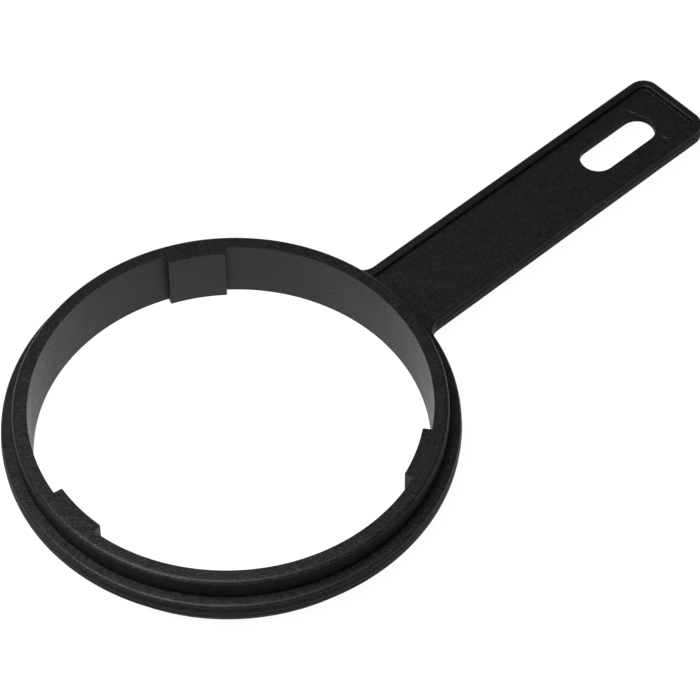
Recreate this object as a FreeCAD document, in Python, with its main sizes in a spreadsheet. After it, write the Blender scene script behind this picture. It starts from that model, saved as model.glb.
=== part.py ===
"""Ring wrench for filter housings: one plastic moulding, modelled as its named regions.

Millimetres, +Z up.  The origin is the centre of the ring on its lower face, the ring's axis
is Z and the handle points along +X.  The moulding works either way up: only the draft of the
bore and of the band's foot tells its two faces apart.  The regions meet face to face and none
overlaps another.
"""
import FreeCAD, Part
import math
import os
import Sketcher

PARTS_FOLDER = "parts"
FULL_TURN = 360
QUARTER_TURN = math.pi / 2
UP = FreeCAD.Vector(0, 0, 1)
LENGTH_TOLERANCE = 0.01
VOLUME_TOLERANCE = 0.01
SMALLEST_CUT = 1.0

# drive lugs: how far each is turned on from the first, in degrees
LUG_TURNS = {"drive_lug_left": 0, "drive_lug_rear": 120, "drive_lug_right": 240}

DIMENSIONS = {
    # ring band: a hoop whose bore narrows downwards, and which draws in below the flange
    "bore_radius": 60.2,
    "bore_draft": 0.6,
    "band_outer_radius": 64.8,
    "band_foot_draft": 0.5,
    "band_height": 19.7,
    "band_edge_radius": 1.5,
    # flange: a rib round the outside at mid-height, widest at the parting line
    "flange_radius": 68.6,
    "flange_thickness": 6.1,
    "flange_draft": 0.3,
    "flange_edge_radius": 1.1,
    # drive lugs inside the bore; the first direction is taken from the handle
    "lug_tip_radius": 57.4,
    "lug_first_direction": 59.2,
    "lug_angle": 17.7,
    "lug_edge_radius": 0.4,
    # handle: a flat bar with a raised rim round a web that is recessed on both faces
    "handle_width": 29.6,
    "handle_end": 189.7,
    "handle_start": 62.0,
    "handle_corner_radius": 6.0,
    "handle_edge_radius": 1.2,
    "recess_depth": 1.6,
    "recess_overrun": 4.8,
    "recess_width": 23.4,
    "recess_end_gap": 3.1,
    "recess_corner_radius": 2.9,
    "recess_wall_angle": 14.0,
    # hanging slot through the web
    "slot_start": 148.3,
    "slot_end": 177.6,
    "slot_width": 11.4,
    "slot_edge_radius": 0.1,
    # concave fillets where the sides of the handle run into the flange
    "root_radius": 5.0,
}

FORMULAS = {
    "bore_foot_radius": "bore_radius - bore_draft",
    "band_foot_radius": "band_outer_radius - band_foot_draft",
    "mid_height": "band_height / 2",
    "flange_bottom": "(band_height - flange_thickness) / 2",
    "flange_top": "(band_height + flange_thickness) / 2",
    "flange_edge": "flange_radius - flange_draft",
    "half_width": "handle_width / 2",
    "recess_start": "handle_start - recess_overrun",
    "recess_end": "handle_end - recess_end_gap",
    "recess_half_width": "recess_width / 2",
    "wall_run": "recess_depth * tan(recess_wall_angle * 1deg)",
    "floor_half_width": "recess_half_width - wall_run",
    "floor_end": "recess_end - wall_run",
    "floor_corner_radius": "recess_corner_radius - wall_run",
    "slot_radius": "slot_width / 2",
    "root_centre_y": "half_width + root_radius",
    "root_centre_x": "sqrt((flange_radius + root_radius)^2 - root_centre_y^2)",
    "root_share": "flange_radius / (flange_radius + root_radius)",
}

doc = FreeCAD.newDocument("ring_wrench")
sheet = doc.addObject("Spreadsheet::Sheet", "Sizes")


def fill_sheet():
    """Driving dimensions first, then the values worked out from them."""
    rows = list(DIMENSIONS.items())
    rows += [(name, "=" + formula) for name, formula in FORMULAS.items()]
    for row, (name, content) in enumerate(rows, start=1):
        sheet.set("A%d" % row, name)
        sheet.set("B%d" % row, str(content))
        sheet.setAlias("B%d" % row, name)
    doc.recompute()


def cell_value(formula):
    """The present value of a formula of cells, written with or without the sheet's name."""
    return float(sheet.evalExpression(formula.replace("Sizes.", "")))


def bind(thing, **formulas):
    """Bind properties to the sheet; a double underscore stands for a dot in a path."""
    for path, formula in formulas.items():
        thing.setExpression(path.replace("__", "."), formula)
    return thing


# ---------------------------------------------------------------- sketches and features

def body_axis(body, role):
    """One of the body's own origin planes or axes."""
    return next(item for item in body.Origin.OriginFeatures if item.Role == role)


def sketch_on(body, name, role, height=None):
    """A sketch on an origin plane of the body, raised to a height if one is given."""
    sketch = body.newObject("Sketcher::SketchObject", name)
    sketch.AttachmentSupport = (body_axis(body, role), "")
    sketch.MapMode = "FlatFace"
    if height:
        bind(sketch, AttachmentOffset__Base__z=height)
    return sketch


def hold_point(sketch, geometry, vertex, across, along):
    """Hold a point of the sketch at a place given by two formulas."""
    for kind, formula in (("DistanceX", across), ("DistanceY", along)):
        value = cell_value(formula)
        row = sketch.addConstraint(Sketcher.Constraint(kind, -1, 1, geometry, vertex, value))
        sketch.setExpression("Constraints[%d]" % row, formula)


def draw_polygon(sketch, corners):
    """A closed outline of straight lines; each corner is a pair of formulas."""
    points = [FreeCAD.Vector(cell_value(across), cell_value(along), 0) for across, along in corners]
    for start, end in zip(points, points[1:] + points[:1]):
        sketch.addGeometry(Part.LineSegment(start, end))
    count = len(points)
    for index, (across, along) in enumerate(corners):
        before = (index - 1) % count
        sketch.addConstraint(Sketcher.Constraint("Coincident", before, 2, index, 1))
        hold_point(sketch, index, 1, across, along)


def draw_bar(sketch, left, right, half_width, radius):
    """A bar along X: square at its left end, with its two right-hand corners rounded."""
    inner_x = "%s - %s" % (right, radius)
    inner_y = "%s - %s" % (half_width, radius)
    sides = [
        ((left, "-" + half_width), (inner_x, "-" + half_width)),
        ((right, "-(" + inner_y + ")"), (right, inner_y)),
        ((inner_x, half_width), (left, half_width)),
        ((left, half_width), (left, "-" + half_width))]
    lines = []
    for ends in sides:
        start, end = [FreeCAD.Vector(cell_value(x), cell_value(y), 0) for x, y in ends]
        line = sketch.addGeometry(Part.LineSegment(start, end))
        for vertex, (across, along) in enumerate(ends, start=1):
            hold_point(sketch, line, vertex, across, along)
        lines.append(line)
    bend = cell_value(radius)
    for before, after, turn in ((lines[0], lines[1], -1), (lines[1], lines[2], 0)):
        centre = FreeCAD.Vector(cell_value(inner_x), (2 * turn + 1) * cell_value(inner_y), 0)
        circle = Part.Circle(centre, UP, bend)
        arc = sketch.addGeometry(Part.ArcOfCircle(circle, turn * QUARTER_TURN, (turn + 1) * QUARTER_TURN))
        sketch.addConstraint(Sketcher.Constraint("Coincident", before, 2, arc, 1))
        sketch.addConstraint(Sketcher.Constraint("Coincident", arc, 2, after, 1))
        row = sketch.addConstraint(Sketcher.Constraint("Radius", arc, bend))
        sketch.setExpression("Constraints[%d]" % row, radius)


def draw_slot(sketch, left, right, radius):
    """A slot along X; left and right are the centres of its round ends, on the X axis."""
    half = cell_value(radius)
    arcs = []
    for centre_x, start in ((left, QUARTER_TURN), (right, -QUARTER_TURN)):
        circle = Part.Circle(FreeCAD.Vector(cell_value(centre_x), 0, 0), UP, half)
        arcs.append(sketch.addGeometry(Part.ArcOfCircle(circle, start, start + 2 * QUARTER_TURN)))
        hold_point(sketch, arcs[-1], 3, centre_x, "0")
    near_end, far_end = arcs
    for side, first, second in ((-1, near_end, far_end), (1, far_end, near_end)):
        ends = [FreeCAD.Vector(cell_value(x), side * half, 0) for x in (left, right)[::-side]]
        line = sketch.addGeometry(Part.LineSegment(*ends))
        sketch.addConstraint(Sketcher.Constraint("Tangent", first, 2, line, 1))
        sketch.addConstraint(Sketcher.Constraint("Tangent", line, 2, second, 1))
    sketch.addConstraint(Sketcher.Constraint("Equal", near_end, far_end))
    row = sketch.addConstraint(Sketcher.Constraint("Radius", near_end, half))
    sketch.setExpression("Constraints[%d]" % row, radius)


def revolve(body, sketch, name):
    """Turn the sketch once round the body's Z axis."""
    feature = body.newObject("PartDesign::Revolution", name)
    feature.Profile = sketch
    feature.ReferenceAxis = (body_axis(body, "Z_Axis"), [""])
    feature.Angle = FULL_TURN
    doc.recompute()
    return feature


def pad(body, sketch, name, length):
    """Raise the sketch by a length along +Z."""
    feature = body.newObject("PartDesign::Pad", name)
    feature.Profile = sketch
    bind(feature, Length=length)
    doc.recompute()
    return feature


def pocket(body, sketch, name, length, upward=False, taper=None):
    """Cut the sketch into the solid, up or down, and check that it took material away."""
    before = body.Shape.Volume
    feature = body.newObject("PartDesign::Pocket", name)
    feature.Profile = sketch
    feature.Reversed = upward
    bind(feature, Length=length)
    if taper:
        bind(feature, TaperAngle=taper)
    doc.recompute()
    if feature.Shape.Volume > before - SMALLEST_CUT:
        raise RuntimeError(name + " cut nothing")
    return feature


def round_edges(body, base, name, radius, wanted, expected):
    """Fillet the edges of the base feature that a test picks, and check how many it picked."""
    picked = []
    for number, edge in enumerate(base.Shape.Edges, start=1):
        if wanted(edge.BoundBox):
            picked.append("Edge%d" % number)
    if len(picked) != expected:
        raise RuntimeError("%s picked %d edges, not %d" % (name, len(picked), expected))
    fillet = body.newObject("PartDesign::Fillet", name)
    fillet.Base = (base, picked)
    bind(fillet, Radius=radius)
    doc.recompute()
    return fillet


def primitive(kind, name, **formulas):
    """A Part primitive such as Box or Cylinder with bound sizes."""
    return bind(doc.addObject("Part::" + kind, name), **formulas)


def combine(kind, name, base, tool):
    """A boolean of two objects: kind is Cut or Common."""
    result = doc.addObject("Part::" + kind, name)
    result.Base = base
    result.Tool = tool
    return result


def near(value, formula):
    """True where a measure equals a formula of cell names."""
    return abs(value - cell_value(formula)) < LENGTH_TOLERANCE


def is_level(bounds):
    """True for an edge that lies at one height."""
    return bounds.ZLength < LENGTH_TOLERANCE


# ---------------------------------------------------------------- the ring

def is_band_corner(bounds):
    """True for the outer edge of the band's upper or lower face."""
    at_a_face = near(bounds.ZMax, "0") or near(bounds.ZMin, "band_height")
    return is_level(bounds) and at_a_face and bounds.XMax > cell_value("bore_radius + bore_draft")


def make_ring_band():
    """The hoop: an upright band with drafted walls, rounded along its two outer edges."""
    body = doc.addObject("PartDesign::Body", "ring_band")
    section = sketch_on(body, "band_section", "XZ_Plane")
    draw_polygon(section, [
        ("Sizes.bore_foot_radius", "0"),
        ("Sizes.band_foot_radius", "0"),
        ("Sizes.band_outer_radius", "Sizes.flange_bottom"),
        ("Sizes.band_outer_radius", "Sizes.band_height"),
        ("Sizes.bore_radius", "Sizes.band_height")])
    hoop = revolve(body, section, "band_turn")
    round_edges(body, hoop, "band_edges", "Sizes.band_edge_radius", is_band_corner, 2)
    return body


def make_flange_disc():
    """A full disc with the flange's outside: the flange and the handle's root are cut with it."""
    body = doc.addObject("PartDesign::Body", "flange_disc")
    section = sketch_on(body, "flange_section", "XZ_Plane")
    draw_polygon(section, [
        ("0", "Sizes.flange_bottom"),
        ("Sizes.flange_edge", "Sizes.flange_bottom"),
        ("Sizes.flange_radius", "Sizes.mid_height"),
        ("Sizes.flange_edge", "Sizes.flange_top"),
        ("0", "Sizes.flange_top")])
    disc = revolve(body, section, "flange_turn")
    round_edges(body, disc, "flange_edges", "Sizes.flange_edge_radius",
                lambda bounds: is_level(bounds) and near(bounds.XMax, "flange_edge"), 2)
    return body


def make_ring_flange(flange_disc, band_core, floor_prism):
    """The rib round the band, opened where the handle's recesses run up to the band."""
    rib = combine("Cut", "flange_rib", flange_disc, band_core)
    rib = combine("Cut", "flange_open_rib", rib, floor_prism)
    rib = combine("Cut", "flange_upper_cut", rib, make_recess_space("upper", "Sizes.flange_top", True))
    return combine("Cut", "ring_flange", rib, make_recess_space("lower", "Sizes.flange_bottom", False))


def make_drive_lug(name, turn, bore_side):
    """A lug on the bore: a sector of the ring's inside, cut back to the tip radius."""
    sector = primitive(
        "Cone", name + "_sector", Radius1="Sizes.bore_foot_radius", Radius2="Sizes.bore_radius",
        Height="Sizes.band_height", Angle="Sizes.lug_angle",
        Placement__Rotation__Angle="Sizes.lug_first_direction - Sizes.lug_angle / 2 + %d" % turn)
    block = combine("Cut", name + "_block", sector, bore_side)
    doc.recompute()
    lug = doc.addObject("Part::Fillet", name)
    lug.Base = block
    radius = cell_value("lug_edge_radius")
    rounded = []
    for number, edge in enumerate(block.Shape.Edges, start=1):
        middle = edge.BoundBox.Center
        at_the_tip = near(math.hypot(middle.x, middle.y), "lug_tip_radius")
        if at_the_tip and not is_level(edge.BoundBox):
            rounded.append((number, radius, radius))
    lug.Edges = rounded
    return lug


# ---------------------------------------------------------------- the handle

def make_recess_space(side, height, downward):
    """The space of one recess as a solid: it narrows with depth, like the pocket in the handle."""
    body = doc.addObject("PartDesign::Body", side + "_recess_space")
    outline = sketch_on(body, side + "_space_outline", "XY_Plane", height)
    draw_recess(outline)
    space = pad(body, outline, side + "_space", "Sizes.recess_depth")
    space.Reversed = downward
    bind(space, TaperAngle="-Sizes.recess_wall_angle")
    doc.recompute()
    return body


def draw_recess(sketch):
    """The outline of a recess where it opens on the face of the handle."""
    draw_bar(sketch, "Sizes.recess_start", "Sizes.recess_end", "Sizes.recess_half_width",
             "Sizes.recess_corner_radius")


def is_outer_edge(bounds):
    """True for a level edge along the outside of the bare bar, apart from its end in the ring."""
    past_the_slot = bounds.XMax > cell_value("slot_end")
    return is_level(bounds) and past_the_slot and bounds.XLength > LENGTH_TOLERANCE


def is_slot_rim(bounds):
    """True for a level edge round the hanging slot, and not for the corners of the recesses."""
    reach = max(abs(bounds.YMin), abs(bounds.YMax))
    if reach > cell_value("slot_radius") + LENGTH_TOLERANCE:
        return False
    return is_level(bounds) and bounds.XMin > cell_value("slot_start") - LENGTH_TOLERANCE


def make_handle_blank():
    """The whole handle, from inside the ring to its far end, before it is split into regions."""
    body = doc.addObject("PartDesign::Body", "handle_blank")
    outline = sketch_on(body, "handle_outline", "XY_Plane", "Sizes.flange_bottom")
    draw_bar(outline, "Sizes.handle_start", "Sizes.handle_end", "Sizes.half_width",
             "Sizes.handle_corner_radius")
    bar = pad(body, outline, "handle_bar", "Sizes.flange_thickness")
    bar = round_edges(body, bar, "handle_edges", "Sizes.handle_edge_radius", is_outer_edge, 8)

    faces = (("upper", "Sizes.flange_top", False), ("lower", "Sizes.flange_bottom", True))
    for side, height, upward in faces:
        recess = sketch_on(body, side + "_recess_outline", "XY_Plane", height)
        draw_recess(recess)
        pocket(body, recess, side + "_recess", "Sizes.recess_depth", upward, "-Sizes.recess_wall_angle")

    slot = sketch_on(body, "slot_outline", "XY_Plane", "Sizes.flange_top")
    draw_slot(slot, "Sizes.slot_start + Sizes.slot_radius", "Sizes.slot_end - Sizes.slot_radius",
              "Sizes.slot_radius")
    bar = pocket(body, slot, "hanging_slot", "Sizes.flange_thickness")
    round_edges(body, bar, "slot_edges", "Sizes.slot_edge_radius", is_slot_rim, 8)
    return body


def make_floor_prism():
    """An upright prism on the outline of the recess floor: inside it is the web, outside the rim."""
    body = doc.addObject("PartDesign::Body", "floor_prism")
    outline = sketch_on(body, "floor_outline", "XY_Plane")
    draw_bar(outline, "Sizes.recess_start", "Sizes.floor_end", "Sizes.floor_half_width",
             "Sizes.floor_corner_radius")
    pad(body, outline, "floor_block", "Sizes.band_height")
    return body


def make_handle_regions(blank, flange_disc, band_core, floor_prism):
    """Web, side rails and end rail: the web runs up to the band, the rails start at the flange."""
    web = combine("Common", "handle_web", combine("Cut", "web_blank", blank, band_core), floor_prism)
    rim = combine("Cut", "handle_rim", combine("Cut", "rim_blank", blank, flange_disc), floor_prism)

    rail = {
        "Height": "Sizes.band_height",
        "Width": "Sizes.half_width",
        "Length": "Sizes.handle_end - Sizes.handle_corner_radius - Sizes.handle_start",
        "Placement__Base__x": "Sizes.handle_start"}
    left_space = primitive("Box", "left_rail_space", **rail)
    right_space = primitive("Box", "right_rail_space", Placement__Base__y="-Sizes.half_width", **rail)
    end_space = primitive(
        "Box", "end_rail_space", Length="Sizes.handle_corner_radius", Width="Sizes.handle_width",
        Height="Sizes.band_height", Placement__Base__y="-Sizes.half_width",
        Placement__Base__x="Sizes.handle_end - Sizes.handle_corner_radius")
    regions = [web]
    for name, space in (("rail_left", left_space), ("rail_right", right_space), ("rail_end", end_space)):
        regions.append(combine("Common", name, rim, space))
    return regions


def make_root_fillet(name, side, flange_disc):
    """The concave fillet between the handle's side and the flange, on the side +1 or -1."""
    block = primitive(
        "Box", name + "_block", Height="Sizes.flange_thickness", Placement__Base__z="Sizes.flange_bottom",
        Length="Sizes.root_centre_x * (1 - Sizes.root_share)", Width="Sizes.root_centre_y * Sizes.root_share"
        " - Sizes.half_width", Placement__Base__x="Sizes.root_centre_x * Sizes.root_share",
        Placement__Base__y="Sizes.half_width" if side > 0 else "-Sizes.root_centre_y * Sizes.root_share")
    hollow = primitive(
        "Cylinder", name + "_hollow", Radius="Sizes.root_radius", Height="Sizes.band_height",
        Placement__Base__x="Sizes.root_centre_x",
        Placement__Base__y="Sizes.root_centre_y" if side > 0 else "-Sizes.root_centre_y")
    outside = combine("Cut", name + "_outside", block, flange_disc)
    return combine("Cut", name, outside, hollow)


# ---------------------------------------------------------------- checks and files

def check_document(regions):
    """Stop if any object failed or any region's shape is missing or broken."""
    for thing in doc.Objects:
        if "Invalid" in thing.State or "Error" in thing.State:
            raise RuntimeError(thing.Name + " failed: " + ", ".join(thing.State))
    for region in regions:
        shape = region.Shape
        if shape.isNull() or not shape.isValid() or len(shape.Solids) != 1:
            raise RuntimeError(region.Label + " has no single valid solid")
    for index, first in enumerate(regions):
        for second in regions[index + 1:]:
            shared = first.Shape.common(second.Shape).Volume
            if shared > VOLUME_TOLERANCE:
                raise RuntimeError("%s overlaps %s by %.3f mm3" % (first.Label, second.Label, shared))


def main():
    fill_sheet()
    flange_disc = make_flange_disc()
    floor_prism = make_floor_prism()
    band_core = primitive("Cylinder", "band_core", Radius="Sizes.band_outer_radius",
                          Height="Sizes.band_height")
    regions = [make_ring_band(), make_ring_flange(flange_disc, band_core, floor_prism)]
    bore_side = primitive("Cylinder", "lug_bore", Radius="Sizes.lug_tip_radius", Height="Sizes.band_height")
    for name, turn in LUG_TURNS.items():
        regions.append(make_drive_lug(name, turn, bore_side))
    regions += make_handle_regions(make_handle_blank(), flange_disc, band_core, floor_prism)
    regions.append(make_root_fillet("root_fillet_left", 1, flange_disc))
    regions.append(make_root_fillet("root_fillet_right", -1, flange_disc))
    doc.recompute()
    check_document(regions)

    os.makedirs(PARTS_FOLDER, exist_ok=True)
    total = 0.0
    for region in regions:
        region.Shape.exportStep(os.path.join(PARTS_FOLDER, region.Label + ".step"))
        total += region.Shape.Volume
        box = region.Shape.optimalBoundingBox(True, False)
        print("%-18s %9.1f mm3   x %7.2f to %7.2f   y %7.2f to %7.2f   z %5.2f to %5.2f" % (
            region.Label, region.Shape.Volume, box.XMin, box.XMax, box.YMin, box.YMax, box.ZMin, box.ZMax))
    print("%d regions, %.1f cm3" % (len(regions), total / 1000))


main()
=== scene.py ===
"""Ring wrench for filter housings: the detailed model, its black plastic, and the studio round it.

Sizes are in millimetres and are scaled to metres where a mesh is made.  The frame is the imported
model's: the origin is the centre of the ring on its lower face, +Z is the ring's axis and +X
runs along the handle.  The handle and the flange are symmetric about their mid-height plane.
"""
import math

import bmesh
import bpy
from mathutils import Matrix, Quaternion, Vector, noise
from mathutils.geometry import delaunay_2d_cdt


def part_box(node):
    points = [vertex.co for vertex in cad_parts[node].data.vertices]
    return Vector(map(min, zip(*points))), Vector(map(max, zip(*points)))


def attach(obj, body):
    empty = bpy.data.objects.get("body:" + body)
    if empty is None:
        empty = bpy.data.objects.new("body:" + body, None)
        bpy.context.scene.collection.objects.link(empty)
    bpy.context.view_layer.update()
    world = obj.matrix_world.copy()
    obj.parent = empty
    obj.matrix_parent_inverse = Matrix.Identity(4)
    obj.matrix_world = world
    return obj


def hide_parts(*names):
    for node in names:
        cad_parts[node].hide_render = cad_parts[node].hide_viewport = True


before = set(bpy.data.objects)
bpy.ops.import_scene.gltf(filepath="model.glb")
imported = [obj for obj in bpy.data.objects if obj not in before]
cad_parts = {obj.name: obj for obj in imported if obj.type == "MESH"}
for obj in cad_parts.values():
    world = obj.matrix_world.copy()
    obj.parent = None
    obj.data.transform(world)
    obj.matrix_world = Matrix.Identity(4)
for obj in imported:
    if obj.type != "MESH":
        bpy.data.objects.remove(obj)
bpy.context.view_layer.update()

MM = 0.001


# ---------------------------------------------------------------- sizes taken from the frame

def node_box(node):
    """Lowest and highest corner of a CAD node, in millimetres."""
    lowest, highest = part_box(node)
    return lowest / MM, highest / MM


_, BAND_HIGH = node_box("ring_band")
FLANGE_LOW, FLANGE_HIGH = node_box("ring_flange")
_, WEB_HIGH = node_box("handle_web")
_, END_HIGH = node_box("rail_end")
LUG_LOW, LUG_HIGH = node_box("drive_lug_rear")

BAND_RADIUS = BAND_HIGH.y
BAND_HEIGHT = BAND_HIGH.z
MIDDLE = BAND_HEIGHT / 2
FLANGE_RADIUS = FLANGE_HIGH.y
HALF_FLANGE = FLANGE_HIGH.z - MIDDLE
HALF_WEB = WEB_HIGH.z - MIDDLE
HANDLE_END = END_HIGH.x
HALF_WIDTH = END_HIGH.y
BORE_RADIUS = -LUG_LOW.x
LUG_SIDES = (math.asin(LUG_HIGH.y / BORE_RADIUS), math.asin(LUG_LOW.y / BORE_RADIUS))
LUG_HALF_ANGLE = (LUG_SIDES[0] - LUG_SIDES[1]) / 2
LUG_LEAN = (LUG_SIDES[0] + LUG_SIDES[1]) / 2    # all three lugs are turned back by this

# ---------------------------------------------------------------- sizes of the finer shapes

BAND_EDGE_RADIUS = 1.5
BORE_DRAFT = 0.6            # how much the bore narrows from top to bottom
BAND_FOOT_DRAFT = 0.5       # how much the band draws in below the flange
LUG_TIP_RADIUS = 57.4
LUG_EDGE_RADIUS = 0.4
LUG_EASE = 0.1              # rounding of the lug's free edges above and below
LUG_EASE_STEPS = 4
LUG_DIVISIONS = 14
LONG_SIDE = 8.0
LUG_DIRECTIONS = {"left": 60, "rear": 180, "right": 300}

SIDE_DRAFT = 0.22           # how far a side face leans in from the parting line to its edge
RIDGE_HEIGHT = 0.06         # the parting line stands this proud of the side faces
RIDGE_HALF_WIDTH = 0.14
SIDE_EDGE_RADIUS = 1.25

CORNER_RADIUS = 6.0
LIP_INSET = 3.1             # from the handle's side to the top of the recess wall
WALL_RUN = 0.4              # how far the recess wall leans over its depth
LIP_RADIUS = 0.8
WALL_FOOT_RADIUS = 0.35
FLOOR_INSET = 3.9           # from the handle's side to where the web takes over from the rail
RAIL_START = 62.5           # inside the thickness of the band
SPLIT_BEFORE_CORNER = 0.6   # where the side rails hand over to the end rail

SLOT_NEAR, SLOT_FAR = 148.3, 177.6
SLOT_RADIUS = 5.7
SLOT_RIM_RADIUS = 0.4       # at the far end of the slot, where its rim is rounded most
SLOT_RIM_SHARE = 0.25       # the share of that radius on the rest of the rim
SLOT_RIM_TURN = math.radians(25)    # direction in which the rim is rounded most

PIN_MARKS = [(69.0, 7.3, 3.0), (69.0, -7.3, 3.0), (178.8, 7.25, 3.3), (178.8, -7.25, 3.3)]
PIN_HEIGHT = 0.16
PIN_STEP = 0.1              # half the width of the slope round a mark
PIN_STEPS = 48

ROOT_RADIUS = 5.0
ROOT_COVER = 1.7            # how far the root fillet laps over the rail and over the flange

EMBED = 0.04                # overlap of two pieces that share a face
LIFT = 0.004                # keeps two level faces from lying in one plane
SHORTEST_EDGE = LIFT / 4
WELD = 1e-7                 # in metres
MERGE = 1e-6
SLOT_MARGIN = 0.005
FLANGE_END_GAP = 0.1        # keeps the flange's ends inside the rails
SHARP_ANGLE = math.radians(32)
STEEP = 0.35                # a face is a side face, and gets the plastic with painted shade, where its normal's Z is less than this
INSIDE_EDGES = 1            # delaunay_2d_cdt: keep only the triangles inside the given edges

RING_STEPS = 360
ARC_STEPS = 7
SLOT_ARC_STEPS = 24
SLOT_RIM_STEPS = 4
CORNER_STEPS = 18
WEB_CORNER_STEPS = 12
ROOT_STEPS = 16
GRID_STEP = 3               # spacing of the extra points on the web, which only carry its unevenness
GRID_HALF_WIDTH = 9.0
GRID_NEAR_GAP, GRID_FAR_GAP = 2, 6
GRID_CLEARANCE = 1.0
RUN_STEP = 1.5              # longest straight stretch between two points of an outline or path


# ---------------------------------------------------------------- outlines

def rounded(corners):
    """A closed outline with rounded corners; each corner is (across, up, radius)."""
    outline = []
    for index, (across, up, radius) in enumerate(corners):
        here = Vector((across, up))
        if not radius:
            outline.append(here)
            continue
        back = (Vector(corners[index - 1][:2]) - here).normalized()
        onward = (Vector(corners[(index + 1) % len(corners)][:2]) - here).normalized()
        half = back.angle(onward) / 2
        centre = here + (back + onward).normalized() * radius / math.sin(half)
        arm = here + back * radius / math.tan(half) - centre
        turn = math.pi - 2 * half
        if back.x * onward.y - back.y * onward.x > 0:
            turn = -turn
        start = math.atan2(arm.y, arm.x)
        for step in range(ARC_STEPS + 1):
            angle = start + turn * step / ARC_STEPS
            outline.append(centre + Vector((math.cos(angle), math.sin(angle))) * radius)
    return outline


def spaced(outline):
    """The closed outline with extra points on its long stretches, and no repeated points."""
    result = []
    for start, finish in zip(outline, outline[1:] + outline[:1]):
        length = (finish - start).length
        if length < SHORTEST_EDGE:
            continue
        parts = max(1, math.ceil(length / RUN_STEP))
        result += [start.lerp(finish, part / parts) for part in range(parts)]
    return result


def divided(outline, parts):
    """The closed outline with its two long sides cut into a fixed number of parts."""
    result = []
    for start, finish in zip(outline, outline[1:] + outline[:1]):
        count = parts if (finish - start).length > LONG_SIDE else 1
        result += [start.lerp(finish, part / count) for part in range(count)]
    return result


def mirrored(corners):
    """The corners of an upper half, followed by their mirror image below the mid-height plane."""
    return corners + [(across, -up, radius) for across, up, radius in reversed(corners)]


def steps_between(start, finish, longest=RUN_STEP):
    """Evenly spaced numbers from start to finish, both included."""
    parts = max(1, math.ceil(abs(finish - start) / longest))
    return [start + (finish - start) * part / parts for part in range(parts + 1)]


# ---------------------------------------------------------------- meshes

WAVES = [(11.0, 0.018), (4.0, 0.006)]   # wavelength and height of the moulding's unevenness


def settled(point):
    """The point, moved a hair as a cooled moulding is.

    The field is the same for every piece of one run. Its seed isn't set, so it differs from run
    to run, by about 0.03 mm at most.
    """
    for wavelength, height in WAVES:
        point = point + noise.noise_vector(point / wavelength) * height
    return point


class Shell:
    """A closed mesh, gathered patch by patch and welded where the patches meet."""

    def __init__(self):
        self.points = []
        self.faces = []

    def patch(self, rows, close_rows=False, close_columns=False):
        """Quads over rows of points."""
        base = len(self.points)
        depth, width = len(rows), len(rows[0])
        self.points += [Vector(point) for row in rows for point in row]
        for i in range(depth if close_rows else depth - 1):
            below = (i + 1) % depth
            for j in range(width if close_columns else width - 1):
                across = (j + 1) % width
                self.faces.append((
                    base + i * width + j, base + i * width + across,
                    base + below * width + across, base + below * width + j))

    def cap(self, loop):
        """One face over a closed loop."""
        base = len(self.points)
        self.points += [Vector(point) for point in loop]
        self.faces.append(tuple(range(base, base + len(loop))))

    def sweep(self, rows):
        """A tube through rows of closed sections, with both its ends capped."""
        self.patch(rows, close_columns=True)
        self.cap(rows[0])
        self.cap(rows[-1])

    def triangles(self, points, faces):
        """Faces over points of their own."""
        base = len(self.points)
        self.points += points
        self.faces += [tuple(base + corner for corner in face) for face in faces]


def make_piece(name, shell, *nodes):
    """Weld the shell, check that it is closed, and let it stand for the CAD nodes."""
    mesh = bpy.data.meshes.new(name)
    mesh.from_pydata([settled(point) * MM for point in shell.points], [], shell.faces)
    work = bmesh.new()
    work.from_mesh(mesh)
    bmesh.ops.remove_doubles(work, verts=work.verts, dist=WELD)
    bmesh.ops.dissolve_degenerate(work, edges=work.edges, dist=WELD)
    bmesh.ops.recalc_face_normals(work, faces=work.faces)
    open_edges = sum(1 for edge in work.edges if not edge.is_manifold)
    if open_edges:
        raise RuntimeError("%s has %d open edges" % (name, open_edges))
    for face in work.faces:
        face.smooth = True
        outside_bore = face.calc_center_median().xy.length > (BORE_RADIUS + 1) * MM
        # outer side faces take the less glossy copy of the plastic, which paints shade on them
        face.material_index = int(outside_bore and abs(face.normal.z) < STEEP)
    for edge in work.edges:
        edge.smooth = edge.calc_face_angle() < SHARP_ANGLE
    work.to_mesh(mesh)
    work.free()
    piece = bpy.data.objects.new(name, mesh)
    bpy.context.scene.collection.objects.link(piece)
    mesh.materials.append(plastic)
    mesh.materials.append(side_plastic_with_painted_shade)
    weighted = piece.modifiers.new("weighted_normals", "WEIGHTED_NORMAL")
    weighted.keep_sharp = True
    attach(piece, "root")
    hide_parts(*nodes)
    return piece


# ---------------------------------------------------------------- the plastic

GRAIN_SCALE, SWIRL_SCALE, CLOUD_SCALE = 2200, 420, 70       # cycles a metre
SWIRL_DISTORTION, CLOUD_DISTORTION = 2.2, 0.6
NOISE_LOW, NOISE_HIGH = 0.3, 0.7                            # the noise is nearly all within these
DARK_COLOUR = (0.0024, 0.0028, 0.0028, 1)
LIGHT_COLOUR = (0.0115, 0.0126, 0.0124, 1)
DARK_UP_TO, LIGHT_FROM = 0.40, 0.62
CLOUD_ROUGHNESS, SWIRL_ROUGHNESS = 0.06, 0.1                # how much each field varies it
SWIRL_RELIEF, GRAIN_RELIEF = 0.0002, 0.0001                 # metres
RELIEF_STRENGTH = 0.8


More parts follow.
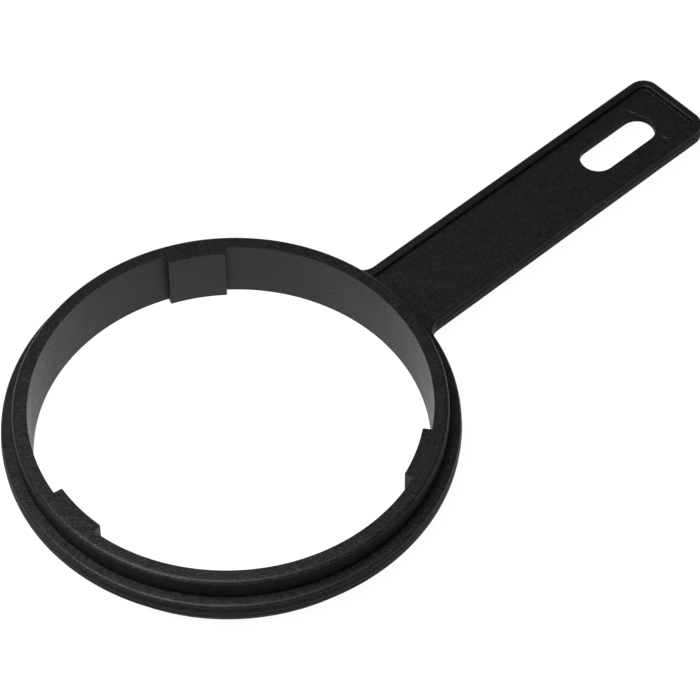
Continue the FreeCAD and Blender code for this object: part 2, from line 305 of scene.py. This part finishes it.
def make_plastic(name, specular, roughest):
    """Black glass-filled plastic: satin, with a fine grain and faint swirls of flow and fibre."""
    material = bpy.data.materials.new(name)
    material.use_nodes = True
    nodes, links = material.node_tree.nodes, material.node_tree.links
    shader = nodes["Principled BSDF"]
    shader.inputs["IOR"].default_value = 1.5
    shader.inputs["Specular IOR Level"].default_value = specular
    place = nodes.new("ShaderNodeTexCoord")

    def field(scale, detail, distortion=0.0):
        """Noise in the object's own space; scale is in cycles a metre."""
        node = nodes.new("ShaderNodeTexNoise")
        node.inputs["Scale"].default_value = scale
        node.inputs["Detail"].default_value = detail
        node.inputs["Distortion"].default_value = distortion
        links.new(place.outputs["Object"], node.inputs["Vector"])
        return node.outputs["Fac"]

    def ranged(value, low, high, to_low, to_high):
        """The value, taken from one range to another."""
        node = nodes.new("ShaderNodeMapRange")
        sockets = {"From Min": low, "From Max": high, "To Min": to_low, "To Max": to_high}
        for socket, number in sockets.items():
            node.inputs[socket].default_value = number
        links.new(value, node.inputs["Value"])
        return node.outputs["Result"]

    def bump(height, distance, below=None):
        """A normal raised by a field, on top of the one below."""
        node = nodes.new("ShaderNodeBump")
        node.inputs["Distance"].default_value = distance
        node.inputs["Strength"].default_value = RELIEF_STRENGTH
        links.new(height, node.inputs["Height"])
        if below:
            links.new(below, node.inputs["Normal"])
        return node.outputs["Normal"]

    grain = field(GRAIN_SCALE, 3)
    swirl = field(SWIRL_SCALE, 5, SWIRL_DISTORTION)
    cloud = field(CLOUD_SCALE, 3, CLOUD_DISTORTION)

    # the colour follows the mean of the grain and the swirl
    mottle = nodes.new("ShaderNodeMath")
    mottle.operation = "MULTIPLY_ADD"
    mottle.inputs[1].default_value = 0.5
    links.new(grain, mottle.inputs[0])
    links.new(ranged(swirl, 0.0, 1.0, 0.0, 0.5), mottle.inputs[2])
    colour = nodes.new("ShaderNodeValToRGB")
    dark, light = colour.color_ramp.elements
    dark.position, dark.color = DARK_UP_TO, DARK_COLOUR
    light.position, light.color = LIGHT_FROM, LIGHT_COLOUR
    links.new(mottle.outputs["Value"], colour.inputs["Fac"])
    links.new(colour.outputs["Color"], shader.inputs["Base Color"])

    rough = nodes.new("ShaderNodeMath")
    rough.operation = "ADD"
    smooth_end = roughest - SWIRL_ROUGHNESS - CLOUD_ROUGHNESS
    links.new(ranged(cloud, NOISE_LOW, NOISE_HIGH, smooth_end, smooth_end + CLOUD_ROUGHNESS),
              rough.inputs[0])
    links.new(ranged(swirl, NOISE_LOW, NOISE_HIGH, 0.0, SWIRL_ROUGHNESS), rough.inputs[1])
    links.new(rough.outputs["Value"], shader.inputs["Roughness"])

    links.new(bump(grain, GRAIN_RELIEF, bump(swirl, SWIRL_RELIEF)), shader.inputs["Normal"])
    return material


plastic = make_plastic("black_plastic", 0.27, 0.52)
# one plastic, but the outer side faces get a copy of it with less gloss: painted shade that makes them
# darker than the bore's wall
side_plastic_with_painted_shade = make_plastic("black_plastic_with_painted_shade_on_sides", 0.06, 0.66)


# ---------------------------------------------------------------- the ring

def polar(radius, angle, height):
    return Vector((radius * math.cos(angle), radius * math.sin(angle), height))


def make_band():
    """The hoop: drafted walls, square along the bore and rounded along its two outer edges."""
    section = spaced(rounded([
        (BORE_RADIUS - BORE_DRAFT, 0, 0),
        (BAND_RADIUS - BAND_FOOT_DRAFT, 0, BAND_EDGE_RADIUS),
        (BAND_RADIUS, FLANGE_LOW.z, 0),
        (BAND_RADIUS, BAND_HEIGHT, BAND_EDGE_RADIUS),
        (BORE_RADIUS, BAND_HEIGHT, 0)]))
    shell = Shell()
    rows = [[polar(point.x, math.tau * step / RING_STEPS, point.y) for point in section]
            for step in range(RING_STEPS)]
    shell.patch(rows, close_rows=True, close_columns=True)
    make_piece("ring_band_moulding", shell, "ring_band")


def side_section(top, inner):
    """Closed section from a side face inwards, as (inset, height above mid-height) points."""
    upper = [(RIDGE_HEIGHT, RIDGE_HALF_WIDTH, 0), (SIDE_DRAFT, top, SIDE_EDGE_RADIUS)] + inner
    return rounded(mirrored(upper) + [(0.0, 0.0, 0)])


def make_flange():
    """The rib round the band.  Its two ends are buried in the rails of the handle."""
    root = FLANGE_RADIUS - BAND_RADIUS + EMBED
    top = HALF_FLANGE + 2 * LIFT
    section = spaced(side_section(top, [(root, top, 0)]))
    end_y = HALF_WIDTH - LIP_INSET + LIP_RADIUS + FLANGE_END_GAP
    rows = []
    for step in range(RING_STEPS + 1):
        row = []
        for point in section:
            radius = FLANGE_RADIUS - point.x
            start = math.asin(end_y / radius)
            angle = start + (math.tau - 2 * start) * step / RING_STEPS
            row.append(polar(radius, angle, MIDDLE + point.y))
        rows.append(row)
    shell = Shell()
    shell.sweep(rows)
    make_piece("ring_flange_moulding", shell, "ring_flange")


def make_lug(side, direction):
    """A lug on the bore, level with the band above and below, with its free edges eased."""
    centre = math.radians(direction) - LUG_LEAN
    root = BORE_RADIUS + EMBED
    half_arc = LUG_HALF_ANGLE * LUG_TIP_RADIUS
    eased = [(LUG_EASE * (1 - math.sin(turn)), LUG_EASE * (1 - math.cos(turn)))
             for turn in (math.pi / 2 * step / LUG_EASE_STEPS for step in range(LUG_EASE_STEPS + 1))]
    levels = list(eased)
    levels += [(0.0, height) for height in steps_between(LUG_EASE, BAND_HEIGHT - LUG_EASE)[1:-1]]
    levels += [(inset, BAND_HEIGHT - height) for inset, height in reversed(eased)]
    rows = []
    for inset, height in levels:
        outline = rounded([
            (half_arc - inset, root, 0),
            (inset - half_arc, root, 0),
            (inset - half_arc, LUG_TIP_RADIUS + inset, LUG_EDGE_RADIUS),
            (half_arc - inset, LUG_TIP_RADIUS + inset, LUG_EDGE_RADIUS)])
        corners = [Vector((arc, radius)) for arc, radius in outline]
        rows.append([polar(radius, centre + arc / LUG_TIP_RADIUS, height)
                     for arc, radius in divided(corners, LUG_DIVISIONS)])
    shell = Shell()
    shell.sweep(rows)
    make_piece("drive_lug_%s_moulding" % side, shell, "drive_lug_" + side)


# ---------------------------------------------------------------- the handle

def rail_section():
    """Closed section of a rail: (inset from the handle's side, height above mid-height)."""
    inner = [
        (LIP_INSET, HALF_FLANGE, LIP_RADIUS),
        (LIP_INSET + WALL_RUN, HALF_WEB, WALL_FOOT_RADIUS),
        (FLOOR_INSET, HALF_WEB, 0)]
    return spaced(side_section(HALF_FLANGE, inner))


CORNER_X = HANDLE_END - CORNER_RADIUS
CORNER_Y = HALF_WIDTH - CORNER_RADIUS


def rim_point(inset, angle, shift=0.0):
    """A point on the corner arc of the rim; the angle runs from 0 at the end to 90 at the side."""
    radius = CORNER_RADIUS - inset
    return Vector((CORNER_X + radius * math.cos(angle) - shift,
                   CORNER_Y + radius * math.sin(angle), 0))


def make_side_rail(side, sign):
    """A side rail, from inside the band to just before the corner."""
    section = rail_section()
    rows = []
    for along in steps_between(RAIL_START, CORNER_X - SPLIT_BEFORE_CORNER):
        rows.append([(along, sign * (HALF_WIDTH - point.x), MIDDLE + point.y) for point in section])
    shell = Shell()
    shell.sweep(rows)
    make_piece("rail_%s_moulding" % side, shell, "rail_" + side)


def make_end_rail():
    """The end of the rim with both its corners."""
    section = rail_section()
    stations = [(math.pi / 2, shift) for shift in (SPLIT_BEFORE_CORNER, SPLIT_BEFORE_CORNER / 2)]
    stations += [(math.pi / 2 * (1 - step / CORNER_STEPS), 0.0) for step in range(CORNER_STEPS + 1)]
    left = []
    for angle, shift in stations:
        left.append([rim_point(point.x, angle, shift) + Vector((0, 0, MIDDLE + point.y))
                     for point in section])
    middle = [[Vector((HANDLE_END - point.x, y, MIDDLE + point.y)) for point in section]
              for y in steps_between(CORNER_Y, -CORNER_Y)[1:-1]]
    right = [[Vector((place.x, -place.y, place.z)) for place in row] for row in reversed(left)]
    rows = left + middle + right
    shell = Shell()
    shell.sweep(rows)
    make_piece("rail_end_moulding", shell, "rail_end")


def web_outline():
    """Outline of the web, along the inner ends of the rail sections and inside the band."""
    half = HALF_WIDTH - FLOOR_INSET
    hidden = BAND_RADIUS - EMBED
    reach = math.asin(half / hidden)
    outline = [Vector((hidden * math.cos(a), hidden * math.sin(a)))
               for a in steps_between(reach, -reach, RUN_STEP / hidden)]
    corner = [rim_point(FLOOR_INSET, angle)
              for angle in steps_between(0.0, math.pi / 2, math.pi / 2 / WEB_CORNER_STEPS)]
    outline += [Vector((place.x, -place.y)) for place in reversed(corner)]
    outline += [Vector((place.x, place.y)) for place in corner]
    return spaced(outline)


def rim_share(turn):
    """Share of the slot's rim radius in a direction from the slot's centre line."""
    facing = math.cos(turn - SLOT_RIM_TURN)
    return max(SLOT_RIM_SHARE, facing * abs(facing))


def slot_ring(out, down):
    """The hanging slot's outline, out from its wall and down from its face in rim radii."""
    near, far = SLOT_NEAR + SLOT_RADIUS, SLOT_FAR - SLOT_RADIUS
    half_turn = steps_between(-math.pi / 2, math.pi / 2, math.pi / SLOT_ARC_STEPS)
    straight = steps_between(far, near)[1:-1]
    places = [(far, turn) for turn in half_turn]
    places += [(x, math.pi / 2) for x in straight]
    places += [(near, turn + math.pi) for turn in half_turn]
    places += [(x, -math.pi / 2) for x in reversed(straight)]
    ring = []
    for centre, turn in places:
        rim = SLOT_RIM_RADIUS * rim_share(math.remainder(turn, math.tau))
        radius = SLOT_RADIUS + rim * out
        ring.append(Vector((centre + radius * math.cos(turn), radius * math.sin(turn), rim * down)))
    return ring


def in_slot(point, margin):
    """True for a point inside the slot's outer rim and a margin round it."""
    near, far = SLOT_NEAR + SLOT_RADIUS, SLOT_FAR - SLOT_RADIUS
    arm = point - Vector((min(max(point.x, near), far), 0))
    rim = SLOT_RIM_RADIUS * rim_share(math.atan2(arm.y, arm.x))
    return arm.length < SLOT_RADIUS + rim + margin


def web_face(outline, rim):
    """Flat points and triangles of the web's face, with each point's height above the face."""
    points = list(outline) + list(rim)
    edges = [(i, (i + 1) % len(outline)) for i in range(len(outline))]
    edges += [(len(outline) + i, len(outline) + (i + 1) % len(rim)) for i in range(len(rim))]
    heights = [0.0] * len(points)
    for x, y, radius in PIN_MARKS:
        for offset, height in ((-PIN_STEP, PIN_HEIGHT), (PIN_STEP, 0.0)):
            base = len(points)
            for step in range(PIN_STEPS):
                turn = math.tau * step / PIN_STEPS
                arm = Vector((math.cos(turn), math.sin(turn))) * (radius + offset)
                points.append(Vector((x, y)) + arm)
                heights.append(height)
            edges += [(base + i, base + (i + 1) % PIN_STEPS) for i in range(PIN_STEPS)]
    for x in steps_between(BAND_RADIUS + GRID_NEAR_GAP, HANDLE_END - GRID_FAR_GAP, GRID_STEP):
        for y in steps_between(-GRID_HALF_WIDTH, GRID_HALF_WIDTH, GRID_STEP):
            point = Vector((x, y))
            clear = all((point - Vector((pin_x, pin_y))).length > radius + GRID_CLEARANCE
                        for pin_x, pin_y, radius in PIN_MARKS)
            if clear and not in_slot(point, GRID_CLEARANCE):
                points.append(point)
                heights.append(0.0)
    places, _, faces, origin, _, _ = delaunay_2d_cdt(points, edges, [], INSIDE_EDGES, MERGE)
    kept = []
    for face in faces:
        middle = sum((places[corner] for corner in face), Vector((0, 0))) / len(face)
        if not in_slot(middle, -SLOT_MARGIN):
            kept.append(face)
    height_of = [max((heights[source] for source in sources), default=0.0) for sources in origin]
    return places, height_of, kept


def make_web():
    """The recessed plate between the rails, with the hanging slot through it."""
    outline = web_outline()
    places, heights, faces = web_face(outline, [point.xy for point in slot_ring(1.0, 0.0)])
    shell = Shell()
    for sign in (1, -1):
        points = [Vector((place.x, place.y, MIDDLE + sign * (HALF_WEB + height)))
                  for place, height in zip(places, heights)]
        shell.triangles(points, faces)
    turns = steps_between(0.0, math.pi / 2, math.pi / 2 / SLOT_RIM_STEPS)
    rows = []
    for sign, order in ((1, turns), (-1, reversed(turns))):
        for turn in order:
            ring = slot_ring(1 - math.sin(turn), 1 - math.cos(turn))
            rows.append([(point.x, point.y, MIDDLE + sign * (HALF_WEB - point.z)) for point in ring])
    shell.patch(rows, close_columns=True)
    shell.patch([[(place.x, place.y, MIDDLE + height) for place in outline]
                 for height in (HALF_WEB, -HALF_WEB)], close_columns=True)
    make_piece("handle_web_moulding", shell, "handle_web")


def make_root_fillet(side, sign):
    """The concave fillet between the handle's side and the flange."""
    centre_y = HALF_WIDTH + ROOT_RADIUS
    centre_x = math.sqrt((FLANGE_RADIUS + ROOT_RADIUS) ** 2 - centre_y ** 2)
    centre = Vector((centre_x, centre_y))
    top = HALF_FLANGE + LIFT
    first = -math.pi / 2
    last = math.atan2(-centre_y, -centre_x)
    rows = []
    for step in range(ROOT_STEPS + 1):
        angle = first + (last - first) * step / ROOT_STEPS
        aim = Vector((math.cos(angle), math.sin(angle)))
        to_rail = (centre_y - (HALF_WIDTH - ROOT_COVER)) / -aim.y
        inner_radius = FLANGE_RADIUS - ROOT_COVER
        along = -centre.dot(aim)
        to_flange = along - math.sqrt(max(0.0, along ** 2 - (centre.length_squared - inner_radius ** 2)))
        inner = min(to_rail, to_flange) - ROOT_RADIUS
        section = side_section(top, [(inner, top, 0)])
        rows.append([(centre.x + aim.x * (ROOT_RADIUS + point.x),
                      sign * (centre.y + aim.y * (ROOT_RADIUS + point.x)),
                      MIDDLE + point.y) for point in section])
    shell = Shell()
    shell.sweep(rows)
    make_piece("root_fillet_%s_moulding" % side, shell, "root_fillet_" + side)


make_band()
make_flange()
for lug_side, lug_direction in LUG_DIRECTIONS.items():
    make_lug(lug_side, lug_direction)
make_web()
for rail_side, rail_sign in (("left", 1), ("right", -1)):
    make_side_rail(rail_side, rail_sign)
    make_root_fillet(rail_side, rail_sign)
make_end_rail()


# ---------------------------------------------------------------- the studio

CAMERA_AIM = Vector((44.707, -3.384, 9.85)) * MM
CAMERA_AZIMUTH = math.radians(-132.351)
CAMERA_ELEVATION = math.radians(51.541)
CAMERA_ROLL = math.radians(-0.199)
CAMERA_DISTANCE = 1.05343
CAMERA_LENS = 179.014

FLOOR_SIZE = 6.0
FLOOR_DROP = 0.00002
FLOOR_GLOW = 0.97

SOFTBOX_PLACE = Vector((-0.17, 0.02, 0.46))
SOFTBOX_AIM = Vector((-0.02, 0.02, 0.0))
SOFTBOX_SIZE = 0.32
SOFTBOX_POWER = 3.1
WORLD_LOW, WORLD_HIGH = 0.10, 0.22



def direction(azimuth, elevation):
    flat = math.cos(elevation)
    return Vector((flat * math.cos(azimuth), flat * math.sin(azimuth), math.sin(elevation)))


def make_camera():
    """The camera at the angle from which the wrench is shown."""
    data = bpy.data.cameras.new("camera")
    data.lens = CAMERA_LENS
    camera = bpy.data.objects.new("camera", data)
    bpy.context.scene.collection.objects.link(camera)
    back = direction(CAMERA_AZIMUTH, CAMERA_ELEVATION)
    camera.location = CAMERA_AIM + back * CAMERA_DISTANCE
    camera.rotation_mode = "QUATERNION"
    camera.rotation_quaternion = back.to_track_quat("Z", "Y") @ Quaternion((0, 0, 1), CAMERA_ROLL)
    bpy.context.scene.camera = camera


def make_floor():
    """A plain pale floor under the wrench."""
    half = FLOOR_SIZE / 2
    mesh = bpy.data.meshes.new("floor")
    corners = [(-half, -half, -FLOOR_DROP), (half, -half, -FLOOR_DROP),
               (half, half, -FLOOR_DROP), (-half, half, -FLOOR_DROP)]
    mesh.from_pydata(corners, [], [(0, 1, 2, 3)])
    floor = bpy.data.objects.new("floor", mesh)
    bpy.context.scene.collection.objects.link(floor)
    material = bpy.data.materials.new("pale_floor")
    material.use_nodes = True
    shader = material.node_tree.nodes["Principled BSDF"]
    shader.inputs["Base Color"].default_value = (0.1, 0.1, 0.1, 1)
    shader.inputs["Roughness"].default_value = 0.9
    shader.inputs["Specular IOR Level"].default_value = 0.0
    shader.inputs["Emission Color"].default_value = (1, 1, 1, 1)
    shader.inputs["Emission Strength"].default_value = FLOOR_GLOW
    mesh.materials.append(material)


def make_softbox():
    """A square softbox overhead, so near that the left of the wrench gets more of its light."""
    data = bpy.data.lights.new("softbox", "AREA")
    data.size = SOFTBOX_SIZE
    data.energy = SOFTBOX_POWER
    softbox = bpy.data.objects.new("softbox", data)
    bpy.context.scene.collection.objects.link(softbox)
    softbox.location = SOFTBOX_PLACE
    softbox.rotation_mode = "QUATERNION"
    softbox.rotation_quaternion = (SOFTBOX_PLACE - SOFTBOX_AIM).to_track_quat("Z", "Y")


def make_world():
    """A dim room, brightest overhead."""
    world = bpy.data.worlds.new("studio")
    bpy.context.scene.world = world
    world.use_nodes = True
    nodes, links = world.node_tree.nodes, world.node_tree.links
    background = nodes["Background"]
    place = nodes.new("ShaderNodeTexCoord")
    split = nodes.new("ShaderNodeSeparateXYZ")
    links.new(place.outputs["Generated"], split.inputs["Vector"])
    strength = nodes.new("ShaderNodeMapRange")
    strength.inputs["To Min"].default_value = WORLD_LOW
    strength.inputs["To Max"].default_value = WORLD_HIGH
    links.new(split.outputs["Z"], strength.inputs["Value"])
    background.inputs["Color"].default_value = (1, 1, 1, 1)
    links.new(strength.outputs["Result"], background.inputs["Strength"])


make_camera()
make_floor()
make_softbox()
make_world()
bpy.context.scene.view_settings.view_transform = "Standard"
